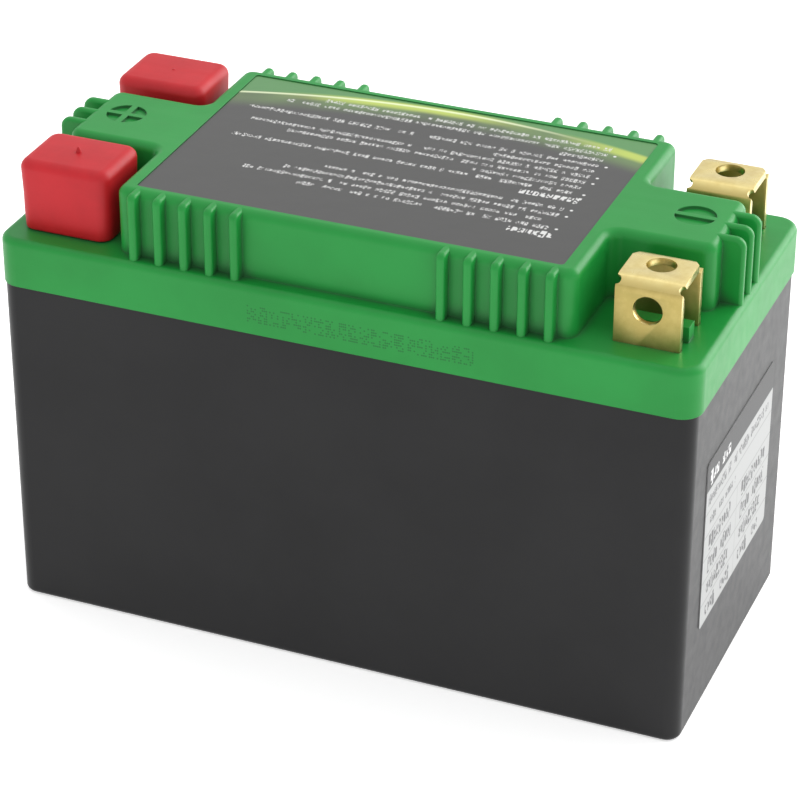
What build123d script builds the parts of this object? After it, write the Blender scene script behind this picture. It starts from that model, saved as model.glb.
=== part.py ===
from build123d import *
import os

os.makedirs("parts", exist_ok=True)

# A sealed lithium motorcycle battery: a box case with a plug-on lid, folded brass
# terminals at both ends, soft boots over the positive pair, and inside it four pouch
# cells in series under a balance board. Millimetres, +Z up, standing on z = 0, long
# side along X with the negative terminals at +X, and the origin under its middle.

# Driving dimensions
LENGTH = 150.0  # over the lid's skirt
WIDTH = 71.0
LID_BOTTOM = 75.7  # where the lid's skirt ends on the case
LEDGE = 86.3  # top of the skirt, the ledge that carries the terminals
TOP = 100.6  # top of the lid's raised block
WALL = 2.0
GAP = 0.1  # play between pieces that slip together

# Case
CASE_INSET = 0.6  # the case stands this far inside the skirt
CASE_L = LENGTH - 2 * CASE_INSET
CASE_W = WIDTH - 2 * CASE_INSET
CASE_CORNER = 3.2
FOOT_ROUND = 1.2
FLOOR = 2.5
LIP_STEP = 1.0
LIP_HEIGHT = 4.0
CAVITY_L = CASE_L - 2 * WALL
CAVITY_W = CASE_W - 2 * WALL

# Lid
SKIRT_CORNER = 4.6
SKIRT_ROUND = 1.5
BLOCK_X = 48.8  # half length of the raised block
BLOCK_Y = 31.75
ARM_X = 69.9  # half length over the two arms
ARM_Y = 11.3
BLOCK_CORNER = 2.5
BLOCK_ROUND = 1.8
LABEL_L = 90.5
LABEL_W = 58.3
LABEL_RECESS = 0.5
LABEL_THICK = 0.3
LABEL_CORNER = 0.8
RIB_THICK = 1.9
RIB_NOSE = 0.8
RIB_ROOT = 2.2
RIB_TOP_ROUND = 1.3
RIB_PITCH = 5.57
RIB_FIRST = 21.9  # middle of the innermost rib of each group
RIBS_IN_GROUP = 5
RIB_TIP = 34.35
FIN_PITCH = 5.2
FINS_IN_GROUP = 3
FIN_TIP = 74.4
FIN_TOP_ROUND = 2.2
MARK_X = 62.2
MARK_Y = 0.6
MARK_RADIUS = 4.2
MARK_DEPTH = 0.6
MARK_BAR = 1.3

# Terminals: each is a strap folded into an upside-down U
POST_X = 62.3  # middle of each terminal
POST_OUT = 28.9  # outer face of the outer leg
POST_IN = 15.7  # inner face of the inner leg
POST_TOP = 100.1
POST_W = 13.4
STRAP = 1.5
BEND_OUT = 2.8  # outside radius of the bend over the outer leg
BEND_IN = 1.9  # and over the inner leg
NOTCH = 0.95  # radius of the relief notches at the ends of the bends
POST_CUT_X = 2.1  # corners cut off the top plate
POST_CUT_Y = 2.8
SIDE_HOLE = 6.0
SIDE_HOLE_Z = 94.0
TOP_HOLE = 6.0
TOP_HOLE_Y = 21.1
TANG_W = 7.0
PEDESTAL_W = 14.2
PEDESTAL_OUT = 24.5
PEDESTAL_IN = 21.2
PEDESTAL_TOP = 89.6

# Boots over the positive terminals
BOOT_X = 61.6
BOOT_Y = 22.2
BOOT_L = 20.2
BOOT_W = 16.3
BOOT_TOP = 101.9
BOOT_WALL = 1.2
BOOT_BORE_W = 14.1
BOOT_CORNER = 2.8
BOOT_ROUND = 2.6
BOOT_NUB = 0.7
BOOT_FOOT = LEDGE + 0.2

# Side label
SIDE_LABEL_W = 45.8
SIDE_LABEL_BOTTOM = 20.8
SIDE_LABEL_TOP = 59.6
SIDE_LABEL_Y = -0.7  # middle of the label across the end
SIDE_LABEL_THICK = 0.2
SIDE_LABEL_CORNER = 1.0

# Cells and what lies round them
CELLS = 4
CELL_PITCH = 14.0
CELL_L = 128.0
CELL_W = 12.6
CELL_FOOT = 5.3
CELL_TOP = 62.0
SEAL_TOP = 66.0
CELL_CORNER = 4.0
CELL_ROUND = 2.0
SEAL_THICK = 1.2
TAB_X = 38.0
TAB_W = 14.0
TAB_THICK = 0.6
TAB_TOP = 73.0
TRAY_BOTTOM = 69.0
LINK_BOTTOM = 71.0
LINK_THICK = 1.2
LINK_L = 20.0
LINK_W = 11.0
RETURN_RISE = 75.0
RETURN_START = 28.0  # where the return bar climbs, left of the middle
BAR_BOTTOM = 80.3
BAR_THICK = 1.5
BAR_W = 9.0
BAR_L = 62.0
BOARD_L = 91.0
BOARD_W = 46.0
BOARD_BOTTOM = 89.6
BOARD_THICK = 1.6
BOARD_CORNER = 1.5
BOSS_X = 32.0
BOSS_Y = 18.0
BOSS_RADIUS = 2.6
BOSS_BORE = 1.0
BOSS_BORE_DEPTH = 6.0
SCREW_RADIUS = 0.95
SCREW_REACH = 5.0  # past the board, into the boss
SCREW_HEAD = 2.3
SCREW_HEAD_H = 1.5
SCREW_CLEAR = 1.3
PIN_RADIUS = 0.6
RESISTOR = (6.4, 3.2, 1.0)
CHIP = (5.0, 6.2, 1.5)
CHIP_Y = 9.0
CHIP_PITCH = 16.0
PACK_HALF = ((CELLS - 1) * CELL_PITCH + CELL_W) / 2
BAND_THICK = 0.3
BAND_W = 10.0
BAND_X = 30.0
PAD_L = 56.0
PAD_H = 56.0
SLEEVE_WALL = 0.5

LINK_TOP = LINK_BOTTOM + LINK_THICK
LOW = (Align.CENTER, Align.CENTER, Align.MIN)


def write(piece, label):
    """Label a finished piece and write its STEP file."""
    piece.label = label
    export_step(piece, f"parts/{label}.step")


def cell_y(index):
    """Middle of a cell across the battery, cell 0 at the -Y side."""
    return (index - (CELLS - 1) / 2) * CELL_PITCH


def group(first, pitch, count):
    """Places of a row of equal pieces."""
    return [first + pitch * index for index in range(count)]


# ---------------------------------------------------------------- case

with BuildPart() as case:
    with BuildSketch():
        RectangleRounded(CASE_L, CASE_W, CASE_CORNER)
    extrude(amount=LID_BOTTOM)
    fillet(case.faces().sort_by(Axis.Z)[0].edges(), radius=FOOT_ROUND)
    with BuildSketch(Plane.XY.offset(LID_BOTTOM)):
        RectangleRounded(CASE_L - 2 * LIP_STEP, CASE_W - 2 * LIP_STEP, CASE_CORNER - LIP_STEP)
    extrude(amount=LIP_HEIGHT)
    with BuildSketch(Plane.XY.offset(FLOOR)):
        RectangleRounded(CAVITY_L, CAVITY_W, CASE_CORNER - WALL)
    extrude(amount=LID_BOTTOM + LIP_HEIGHT - FLOOR, mode=Mode.SUBTRACT)
write(case.part, "case")

# ---------------------------------------------------------------- lid


def rib(reach, top_round):
    """A rib that stands on z = 0 and runs out along +X from inside a wall at x = 0."""
    height = TOP - LEDGE + 1.0
    with BuildPart() as piece:
        with BuildSketch(Plane.XZ) as side:
            with Locations((-RIB_ROOT, 0)):
                Rectangle(RIB_ROOT + reach, height, align=(Align.MIN, Align.MIN))
            fillet(side.vertices().sort_by(Axis.Y)[-2:].sort_by(Axis.X)[-1:], radius=top_round)
        extrude(amount=RIB_THICK / 2, both=True)
        outline = piece.edges().filter_by(lambda edge: abs(edge.center().Y) > RIB_THICK / 2 - 0.01)
        tip = outline.filter_by(lambda edge: edge.center().Z > 1 and edge.center().X > -RIB_ROOT + 0.1)
        fillet(tip, radius=RIB_NOSE)
    return piece.part


front_rib = rib(RIB_TIP - BLOCK_Y, RIB_TOP_ROUND)
end_fin = rib(FIN_TIP - ARM_X, FIN_TOP_ROUND)
rib_x = [side * x for side in (-1, 1) for x in group(RIB_FIRST, RIB_PITCH, RIBS_IN_GROUP)]
fin_y = group(-FIN_PITCH, FIN_PITCH, FINS_IN_GROUP)
rib_foot = LEDGE - 1.0
rib_places = [Location((x, -BLOCK_Y, rib_foot), (0, 0, -90)) for x in rib_x]
rib_places += [Location((x, BLOCK_Y, rib_foot), (0, 0, 90)) for x in rib_x]
fin_places = [Location((ARM_X, y, rib_foot)) for y in fin_y]
fin_places += [Location((-ARM_X, y, rib_foot), (0, 0, 180)) for y in fin_y]

post_places = [(x, y) for x in (-POST_X, POST_X) for y in (-1, 1)]
leg_outer_y = POST_OUT - STRAP / 2
leg_inner_y = POST_IN + STRAP / 2

with BuildSketch() as block_plan:
    Rectangle(2 * BLOCK_X, 2 * BLOCK_Y)
    Rectangle(2 * ARM_X, 2 * ARM_Y)
    fillet(block_plan.vertices(), radius=BLOCK_CORNER)

with BuildPart() as lid:
    # skirt with its ledge
    with BuildSketch(Plane.XY.offset(LID_BOTTOM)):
        RectangleRounded(LENGTH, WIDTH, SKIRT_CORNER)
    extrude(amount=LEDGE - LID_BOTTOM)
    fillet(lid.faces().sort_by(Axis.Z)[-1].edges(), radius=SKIRT_ROUND)
    # raised block and its two arms
    with BuildSketch(Plane.XY.offset(LEDGE)):
        add(block_plan.sketch)
    extrude(amount=TOP - LEDGE)
    fillet(lid.faces().sort_by(Axis.Z)[-1].edges(), radius=BLOCK_ROUND)
    with Locations(rib_places):
        add(front_rib)
    with Locations(fin_places):
        add(end_fin)
    # low ridge between the legs of each terminal
    ridge_y = (PEDESTAL_OUT + PEDESTAL_IN) / 2
    with Locations([(x, y * ridge_y, LEDGE - 1) for x, y in post_places]):
        Box(PEDESTAL_W, PEDESTAL_OUT - PEDESTAL_IN, PEDESTAL_TOP - LEDGE + 1, align=LOW)
    # label recess
    with BuildSketch(Plane.XY.offset(TOP)):
        RectangleRounded(LABEL_L, LABEL_W, LABEL_CORNER)
    extrude(amount=-LABEL_RECESS, mode=Mode.SUBTRACT)
    # sunk polarity marks: a disc with a bar, or a cross, left standing in it
    with BuildSketch(Plane.XY.offset(TOP)):
        with Locations((-MARK_X, MARK_Y), (MARK_X, MARK_Y)):
            Circle(MARK_RADIUS)
            Rectangle(2 * MARK_RADIUS + 1, MARK_BAR, mode=Mode.SUBTRACT)
        with Locations((-MARK_X, MARK_Y)):
            Rectangle(MARK_BAR, 2 * MARK_RADIUS + 1, mode=Mode.SUBTRACT)
    extrude(amount=-MARK_DEPTH, mode=Mode.SUBTRACT)
    # hollow underneath: socket for the case's lip, skirt, then block
    with BuildSketch(Plane.XY.offset(LID_BOTTOM)):
        RectangleRounded(
            CASE_L - 2 * LIP_STEP + 2 * GAP, CASE_W - 2 * LIP_STEP + 2 * GAP, CASE_CORNER - LIP_STEP
        )
    extrude(amount=LIP_HEIGHT + GAP, mode=Mode.SUBTRACT)
    with BuildSketch(Plane.XY.offset(LID_BOTTOM)):
        RectangleRounded(CAVITY_L, CAVITY_W, CASE_CORNER - WALL)
    extrude(amount=LEDGE - WALL - LID_BOTTOM, mode=Mode.SUBTRACT)
    with BuildSketch(Plane.XY.offset(LID_BOTTOM)):
        offset(block_plan.sketch, amount=-WALL)
    extrude(amount=TOP - WALL - LID_BOTTOM, mode=Mode.SUBTRACT)
    # bosses that the balance board hangs from
    boss_foot = BOARD_BOTTOM + BOARD_THICK
    with Locations([(x, y, boss_foot) for x in (-BOSS_X, BOSS_X) for y in (-BOSS_Y, BOSS_Y)]):
        Cylinder(BOSS_RADIUS, TOP - WALL - boss_foot + 0.2, align=LOW)
        Cylinder(BOSS_BORE, BOSS_BORE_DEPTH, align=LOW, mode=Mode.SUBTRACT)
    # slots for the terminal legs
    with BuildSketch(Plane.XY.offset(LEDGE + 1)):
        with Locations([(x, y * leg) for x, y in post_places for leg in (leg_outer_y, leg_inner_y)]):
            Rectangle(POST_W + GAP, STRAP + GAP)
    extrude(amount=-(WALL + 2), mode=Mode.SUBTRACT)
write(lid.part, "lid")

with BuildPart() as top_label:
    with BuildSketch(Plane.XY.offset(TOP - LABEL_RECESS)):
        RectangleRounded(LABEL_L - 2 * GAP, LABEL_W - 2 * GAP, LABEL_CORNER - GAP)
    extrude(amount=LABEL_THICK)
write(top_label.part, "top_label")

with BuildPart() as side_label:
    with BuildSketch(Plane.YZ.offset(CASE_L / 2)):
        with Locations((SIDE_LABEL_Y, (SIDE_LABEL_BOTTOM + SIDE_LABEL_TOP) / 2)):
            RectangleRounded(SIDE_LABEL_W, SIDE_LABEL_TOP - SIDE_LABEL_BOTTOM, SIDE_LABEL_CORNER)
    extrude(amount=SIDE_LABEL_THICK)
write(side_label.part, "side_label")

# ---------------------------------------------------------------- terminals


def terminal(x, side):
    """A folded brass terminal at x, on the side (-1 or 1) of Y, its drilled leg towards -Y."""
    depth = POST_OUT - POST_IN
    shoulder = LEDGE - WALL - 0.5
    tang_foot = BAR_BOTTOM
    with BuildPart() as piece:
        with BuildSketch(Plane.YZ) as section:
            with Locations(((POST_OUT + POST_IN) / 2, shoulder)):
                Rectangle(depth, POST_TOP - shoulder, align=(Align.CENTER, Align.MIN))
            upper = section.vertices().sort_by(Axis.Y)[-2:].sort_by(Axis.X)
            fillet(upper[0], radius=BEND_IN)
            fillet(section.vertices().sort_by(Axis.X)[-2:].sort_by(Axis.Y)[-1], radius=BEND_OUT)
            inner_top = POST_TOP - STRAP
            with BuildSketch(mode=Mode.PRIVATE) as inside:
                with Locations(((POST_OUT + POST_IN) / 2, shoulder)):
                    Rectangle(depth - 2 * STRAP, inner_top - shoulder, align=(Align.CENTER, Align.MIN))
                corners = inside.vertices().sort_by(Axis.Y)[-2:].sort_by(Axis.X)
                fillet(corners[0], radius=BEND_IN - STRAP)
                fillet(inside.vertices().sort_by(Axis.X)[-2:].sort_by(Axis.Y)[-1], radius=BEND_OUT - STRAP)
            add(inside.sketch, mode=Mode.SUBTRACT)
        extrude(amount=POST_W / 2, both=True)
        for end in (-1, 1):
            # a relief notch through the strap at this end of both bends
            for toward, face, bend in ((1, POST_OUT, BEND_OUT), (-1, POST_IN, BEND_IN)):
                centre = (end * POST_W / 2, face - toward * bend, POST_TOP - bend)
                with BuildSketch(Plane(origin=centre, x_dir=(1, 0, 0), z_dir=(0, toward, 1))):
                    Circle(NOTCH)
                extrude(amount=bend + 1, mode=Mode.SUBTRACT)
            # corners cut off the top plate over the inner leg
            with BuildSketch(Plane.XY.offset(POST_TOP + 1)):
                with BuildLine():
                    edge = end * POST_W / 2
                    Polyline(
                        (edge, POST_IN - 1),
                        (edge, POST_IN + POST_CUT_Y),
                        (edge - end * POST_CUT_X, POST_IN),
                        (edge - end * POST_CUT_X, POST_IN - 1),
                        close=True,
                    )
                make_face()
            extrude(amount=-(BEND_IN + 1), mode=Mode.SUBTRACT)
        with BuildSketch(Plane.XY.offset(POST_TOP)):
            with Locations((0, TOP_HOLE_Y)):
                Circle(TOP_HOLE / 2)
        extrude(amount=-STRAP, mode=Mode.SUBTRACT)
        with BuildSketch(Plane.XZ.offset(-POST_OUT)):
            with Locations((0, SIDE_HOLE_Z)):
                Circle(SIDE_HOLE / 2)
        extrude(amount=STRAP, mode=Mode.SUBTRACT)
        with Locations([(0, leg, tang_foot) for leg in (leg_outer_y, leg_inner_y)]):
            Box(TANG_W, STRAP, shoulder + 1 - tang_foot, align=LOW)
    # all four face the same way: the rear ones are the front ones moved back
    forward = mirror(piece.part, about=Plane.XZ)
    return Pos(x, POST_OUT + POST_IN if side > 0 else 0, 0) * forward


for pole, x in (("positive", -POST_X), ("negative", POST_X)):
    for place, side in (("front", -1), ("rear", 1)):
        write(terminal(x, side), f"{pole}_terminal_{place}")

# ---------------------------------------------------------------- boots

for place, side in (("front", -1), ("rear", 1)):
    with BuildPart() as boot:
        with BuildSketch(Plane.XY.offset(BOOT_FOOT)):
            with Locations((-BOOT_X, side * BOOT_Y)):
                RectangleRounded(BOOT_L, BOOT_W, BOOT_CORNER)
        extrude(amount=BOOT_TOP - BOOT_FOOT)
        fillet(boot.faces().sort_by(Axis.Z)[-1].edges(), radius=BOOT_ROUND)
        with BuildSketch(Plane.XY.offset(BOOT_FOOT)):
            with Locations((-BOOT_X, side * BOOT_Y)):
                RectangleRounded(BOOT_L - 2 * BOOT_WALL, BOOT_BORE_W, BOOT_ROUND - BOOT_WALL)
        extrude(amount=BOOT_TOP - BOOT_WALL - BOOT_FOOT, mode=Mode.SUBTRACT)
        # witness of the dipping mould in the middle of the top
        with Locations((-BOOT_X, side * BOOT_Y, BOOT_TOP - 0.1)):
            Cylinder(BOOT_NUB, 0.5, align=LOW)
    write(boot.part, f"positive_boot_{place}")

# ---------------------------------------------------------------- cells

for index in range(CELLS):
    with BuildPart() as cell:
        with Locations((0, cell_y(index), CELL_FOOT)):
            Box(CELL_L, CELL_W, CELL_TOP - CELL_FOOT, align=LOW)
        fillet(cell.edges().filter_by(Axis.Z), radius=CELL_CORNER)
        fillet(cell.faces().sort_by(Axis.Z)[-1].edges(), radius=CELL_ROUND)
        # flat heat seal along the top, where the tabs come out
        with Locations((0, cell_y(index), CELL_TOP - 0.5)):
            Box(CELL_L - 10, SEAL_THICK, SEAL_TOP - CELL_TOP + 0.5, align=LOW)
    write(cell.part, f"cell_{index + 1}")

# The poles alternate from cell to cell, so that neighbours join in series.
positive_side = [-1 if index % 2 == 0 else 1 for index in range(CELLS)]
for label, sign in (("positive_tabs", 1), ("negative_tabs", -1)):
    with BuildPart() as tabs:
        feet = [(sign * positive_side[i] * TAB_X, cell_y(i), SEAL_TOP) for i in range(CELLS)]
        with Locations(feet):
            Box(TAB_W, TAB_THICK, TAB_TOP - SEAL_TOP, align=LOW)
    write(tabs.part, label)

for index in range(CELLS - 1):
    with BuildPart() as separator:
        with Locations((0, (cell_y(index) + cell_y(index + 1)) / 2, CELL_FOOT)):
            Box(CELL_L - 2, CELL_PITCH - CELL_W - 2 * GAP, CELL_TOP - CELL_FOOT - 2, align=LOW)
    write(separator.part, f"cell_separator_{index + 1}")

for label, x in (("pack_band_left", -BAND_X), ("pack_band_right", BAND_X)):
    with BuildPart() as band:
        with BuildSketch(Plane.YZ.offset(x)):
            outer_w = 2 * (PACK_HALF + BAND_THICK)
            with Locations((0, CELL_FOOT - BAND_THICK)):
                Rectangle(outer_w, CELL_TOP + BAND_THICK - CELL_FOOT, align=(Align.CENTER, Align.MIN))
            with Locations((0, CELL_FOOT)):
                Rectangle(2 * PACK_HALF, CELL_TOP, align=(Align.CENTER, Align.MIN), mode=Mode.SUBTRACT)
        extrude(amount=BAND_W / 2, both=True)
    write(band.part, label)

# ---------------------------------------------------------------- links

with BuildPart() as tray:
    with Locations((0, 0, TRAY_BOTTOM)):
        Box(CELL_L + 4, 2 * PACK_HALF + 2, LINK_BOTTOM - TRAY_BOTTOM, align=LOW)
    tab_places = [(x, cell_y(i)) for x in (-TAB_X, TAB_X) for i in range(CELLS)]
    with BuildSketch(Plane.XY.offset(LINK_BOTTOM)):
        with Locations(tab_places):
            Rectangle(TAB_W + 2 * GAP, TAB_THICK + 2 * GAP)
    extrude(amount=-(LINK_BOTTOM - TRAY_BOTTOM), mode=Mode.SUBTRACT)
write(tray.part, "link_tray")


def cut_tab_slots(x, cell_rows):
    """Cut the slots that the cell tabs are welded into, in the part being built."""
    with Locations([(x, y, LINK_BOTTOM) for y in cell_rows]):
        Box(TAB_W, TAB_THICK, LINK_THICK, align=LOW, mode=Mode.SUBTRACT)


for index in range(CELLS - 1):
    x = -positive_side[index] * TAB_X
    with BuildPart() as link:
        with Locations((x, (cell_y(index) + cell_y(index + 1)) / 2, LINK_BOTTOM)):
            Box(LINK_L, CELL_PITCH + 6, LINK_THICK, align=LOW)
        cut_tab_slots(x, [cell_y(index), cell_y(index + 1)])
    write(link.part, f"series_link_{index + 1}")


def strip_profile(points):
    """Draw a strip of sheet metal in the sketch being built, along square-cornered runs."""
    for start, end in zip(points, points[1:]):
        across = abs(end[0] - start[0]) + LINK_THICK
        up = abs(end[1] - start[1]) + LINK_THICK
        with Locations(((start[0] + end[0]) / 2, (start[1] + end[1]) / 2)):
            Rectangle(across, up)


level = LINK_BOTTOM + LINK_THICK / 2
positive_route = [(-TAB_X + 9, level), (-POST_X, level), (-POST_X, BAR_BOTTOM - LINK_THICK / 2)]
return_route = [
    (-TAB_X - 9, level),
    (-RETURN_START, level),
    (-RETURN_START, RETURN_RISE),
    (POST_X, RETURN_RISE),
    (POST_X, BAR_BOTTOM - LINK_THICK / 2),
]
for label, route, y in (
    ("positive_link", positive_route, cell_y(0)),
    ("negative_return_bar", return_route, cell_y(CELLS - 1)),
):
    with BuildPart() as strip:
        with BuildSketch(Plane.XZ.offset(-y)):
            strip_profile(route)
        extrude(amount=LINK_W / 2, both=True)
        cut_tab_slots(-TAB_X, [y])
    write(strip.part, label)

with BuildPart() as sleeve:
    with BuildSketch(Plane.YZ.offset(-RETURN_START + 6)):
        with Locations((cell_y(CELLS - 1), RETURN_RISE)):
            Rectangle(LINK_W + 2 * (GAP + SLEEVE_WALL), LINK_THICK + 2 * (GAP + SLEEVE_WALL))
            Rectangle(LINK_W + 2 * GAP, LINK_THICK + 2 * GAP, mode=Mode.SUBTRACT)
    extrude(amount=RETURN_START + POST_X - 16)
write(sleeve.part, "return_bar_sleeve")

for label, x in (("positive_collector_bar", -POST_X), ("negative_collector_bar", POST_X)):
    with BuildPart() as bar:
        with BuildSketch(Plane.XY.offset(BAR_BOTTOM)):
            with Locations((x, 0)):
                Rectangle(BAR_W, BAR_L)
            with Locations([(x, y * leg) for y in (-1, 1) for leg in (leg_outer_y, leg_inner_y)]):
                Rectangle(TANG_W, STRAP, mode=Mode.SUBTRACT)
        extrude(amount=BAR_THICK)
        fillet(bar.edges().filter_by(Axis.Z).group_by(Axis.Y)[0], radius=1.0)
        fillet(bar.edges().filter_by(Axis.Z).group_by(Axis.Y)[-1], radius=1.0)
    write(bar.part, label)

# ---------------------------------------------------------------- balance board

board_top = BOARD_BOTTOM + BOARD_THICK
boss_places = [(x, y) for x in (-BOSS_X, BOSS_X) for y in (-BOSS_Y, BOSS_Y)]
with BuildPart() as board:
    with BuildSketch(Plane.XY.offset(BOARD_BOTTOM)):
        RectangleRounded(BOARD_L, BOARD_W, BOARD_CORNER)
        with Locations(boss_places):
            Circle(SCREW_CLEAR, mode=Mode.SUBTRACT)
    extrude(amount=BOARD_THICK)
write(board.part, "balance_board")

with BuildPart() as screws:
    with Locations([(x, y, BOARD_BOTTOM) for x, y in boss_places]):
        Cylinder(SCREW_RADIUS, BOARD_THICK + SCREW_REACH, align=LOW)
    with Locations([(x, y, BOARD_BOTTOM - SCREW_HEAD_H) for x, y in boss_places]):
        Cylinder(SCREW_HEAD, SCREW_HEAD_H, align=LOW)
write(screws.part, "board_screws")

tap_x = TAB_X + 5
link_taps = [(-positive_side[i] * tap_x, (cell_y(i) + cell_y(i + 1)) / 2, LINK_TOP) for i in range(CELLS - 1)]
link_taps[-1] = (link_taps[-1][0], cell_y(CELLS - 1) - 9, LINK_TOP)
pole_taps = [
    (-tap_x, cell_y(0) + 4, LINK_TOP),
    (-RETURN_START + 3, cell_y(CELLS - 1) - 3, RETURN_RISE + LINK_THICK / 2),
]
with BuildPart() as pins:
    for x, y, z in link_taps + pole_taps:
        with Locations((x, y, z)):
            Cylinder(PIN_RADIUS, BOARD_BOTTOM - z, align=LOW)
write(pins.part, "sense_pins")

chip_x = group(-CHIP_PITCH * (CELLS - 1) / 2, CHIP_PITCH, CELLS)
with BuildPart() as resistors:
    with Locations([(x, y, board_top) for x in chip_x for y in (-6, 0)]):
        Box(*RESISTOR, align=LOW)
write(resistors.part, "bleed_resistors")

with BuildPart() as chips:
    with Locations([(x, CHIP_Y, board_top) for x in chip_x]):
        Box(*CHIP, align=LOW)
write(chips.part, "balance_chips")

# ---------------------------------------------------------------- foam

side_pad = CAVITY_W / 2 - PACK_HALF - BAND_THICK - 2 * GAP
end_pad = (CAVITY_L - CELL_L) / 2 - 2 * GAP
base_pad = CELL_FOOT - BAND_THICK - FLOOR
pads = {
    "base_pad": ((0, 0, FLOOR), (CELL_L, 2 * PACK_HALF, base_pad)),
    "front_pad": ((0, -CAVITY_W / 2 + side_pad / 2 + GAP, FLOOR), (CELL_L, side_pad, PAD_H)),
    "rear_pad": ((0, CAVITY_W / 2 - side_pad / 2 - GAP, FLOOR), (CELL_L, side_pad, PAD_H)),
    "left_pad": ((-CAVITY_L / 2 + end_pad / 2 + GAP, 0, FLOOR), (end_pad, PAD_L, PAD_H)),
    "right_pad": ((CAVITY_L / 2 - end_pad / 2 - GAP, 0, FLOOR), (end_pad, PAD_L, PAD_H)),
}
for label, (place, size) in pads.items():
    with BuildPart() as pad:
        with Locations(place):
            Box(*size, align=LOW)
    write(pad.part, label)
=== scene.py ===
"""Looks of a sealed motorcycle battery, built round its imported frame.

The case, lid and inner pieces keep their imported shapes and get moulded, rolled and
printed finishes. The soft boots and the folded brass straps are modelled anew where
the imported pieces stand. Lengths inside the finishes are in millimetres on Object
coordinates; everything placed in the scene is in metres.
"""
import logging
import math
from dataclasses import dataclass, field
from enum import Enum

import bpy
from mathutils import Matrix, Vector

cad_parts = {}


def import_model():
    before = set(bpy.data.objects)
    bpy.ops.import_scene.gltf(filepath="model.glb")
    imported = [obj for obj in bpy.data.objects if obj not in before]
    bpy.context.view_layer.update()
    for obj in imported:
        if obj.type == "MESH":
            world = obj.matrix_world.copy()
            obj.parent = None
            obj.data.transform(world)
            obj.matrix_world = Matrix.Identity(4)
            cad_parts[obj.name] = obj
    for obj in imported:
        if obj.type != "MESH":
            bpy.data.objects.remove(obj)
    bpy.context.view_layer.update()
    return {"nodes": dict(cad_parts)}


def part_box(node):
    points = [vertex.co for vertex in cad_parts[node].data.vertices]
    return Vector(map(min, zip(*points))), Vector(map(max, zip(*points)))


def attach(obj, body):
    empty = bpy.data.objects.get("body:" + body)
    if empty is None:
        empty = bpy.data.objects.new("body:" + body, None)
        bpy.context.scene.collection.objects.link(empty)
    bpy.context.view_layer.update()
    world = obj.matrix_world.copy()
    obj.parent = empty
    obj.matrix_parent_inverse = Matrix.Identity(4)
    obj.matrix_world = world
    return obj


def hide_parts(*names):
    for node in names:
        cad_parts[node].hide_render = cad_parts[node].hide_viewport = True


LOG = logging.getLogger("battery")
MM = 0.001
Colour = tuple[float, float, float, float]
Socket = bpy.types.NodeSocket
Value = float | Socket
HOUSING = "housing"
SCATTER = (0.003, 0.0008, 0.0006)  # how far red, green and blue light spread in soft vinyl, m
SCATTER_SCALE = 0.4


class Worded(Enum):
    """An option that is a word in the names of nodes."""

    @property
    def word(self) -> str:
        """The option's word in the names of nodes."""
        return self.name.lower()


class Side(Worded):
    """The two long sides of the battery, as the sign of Y."""

    FRONT = -1
    REAR = 1


class Pole(Worded):
    """The two poles, as the sign of X of their terminals."""

    POSITIVE = -1
    NEGATIVE = 1


# ---- node graphs


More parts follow.
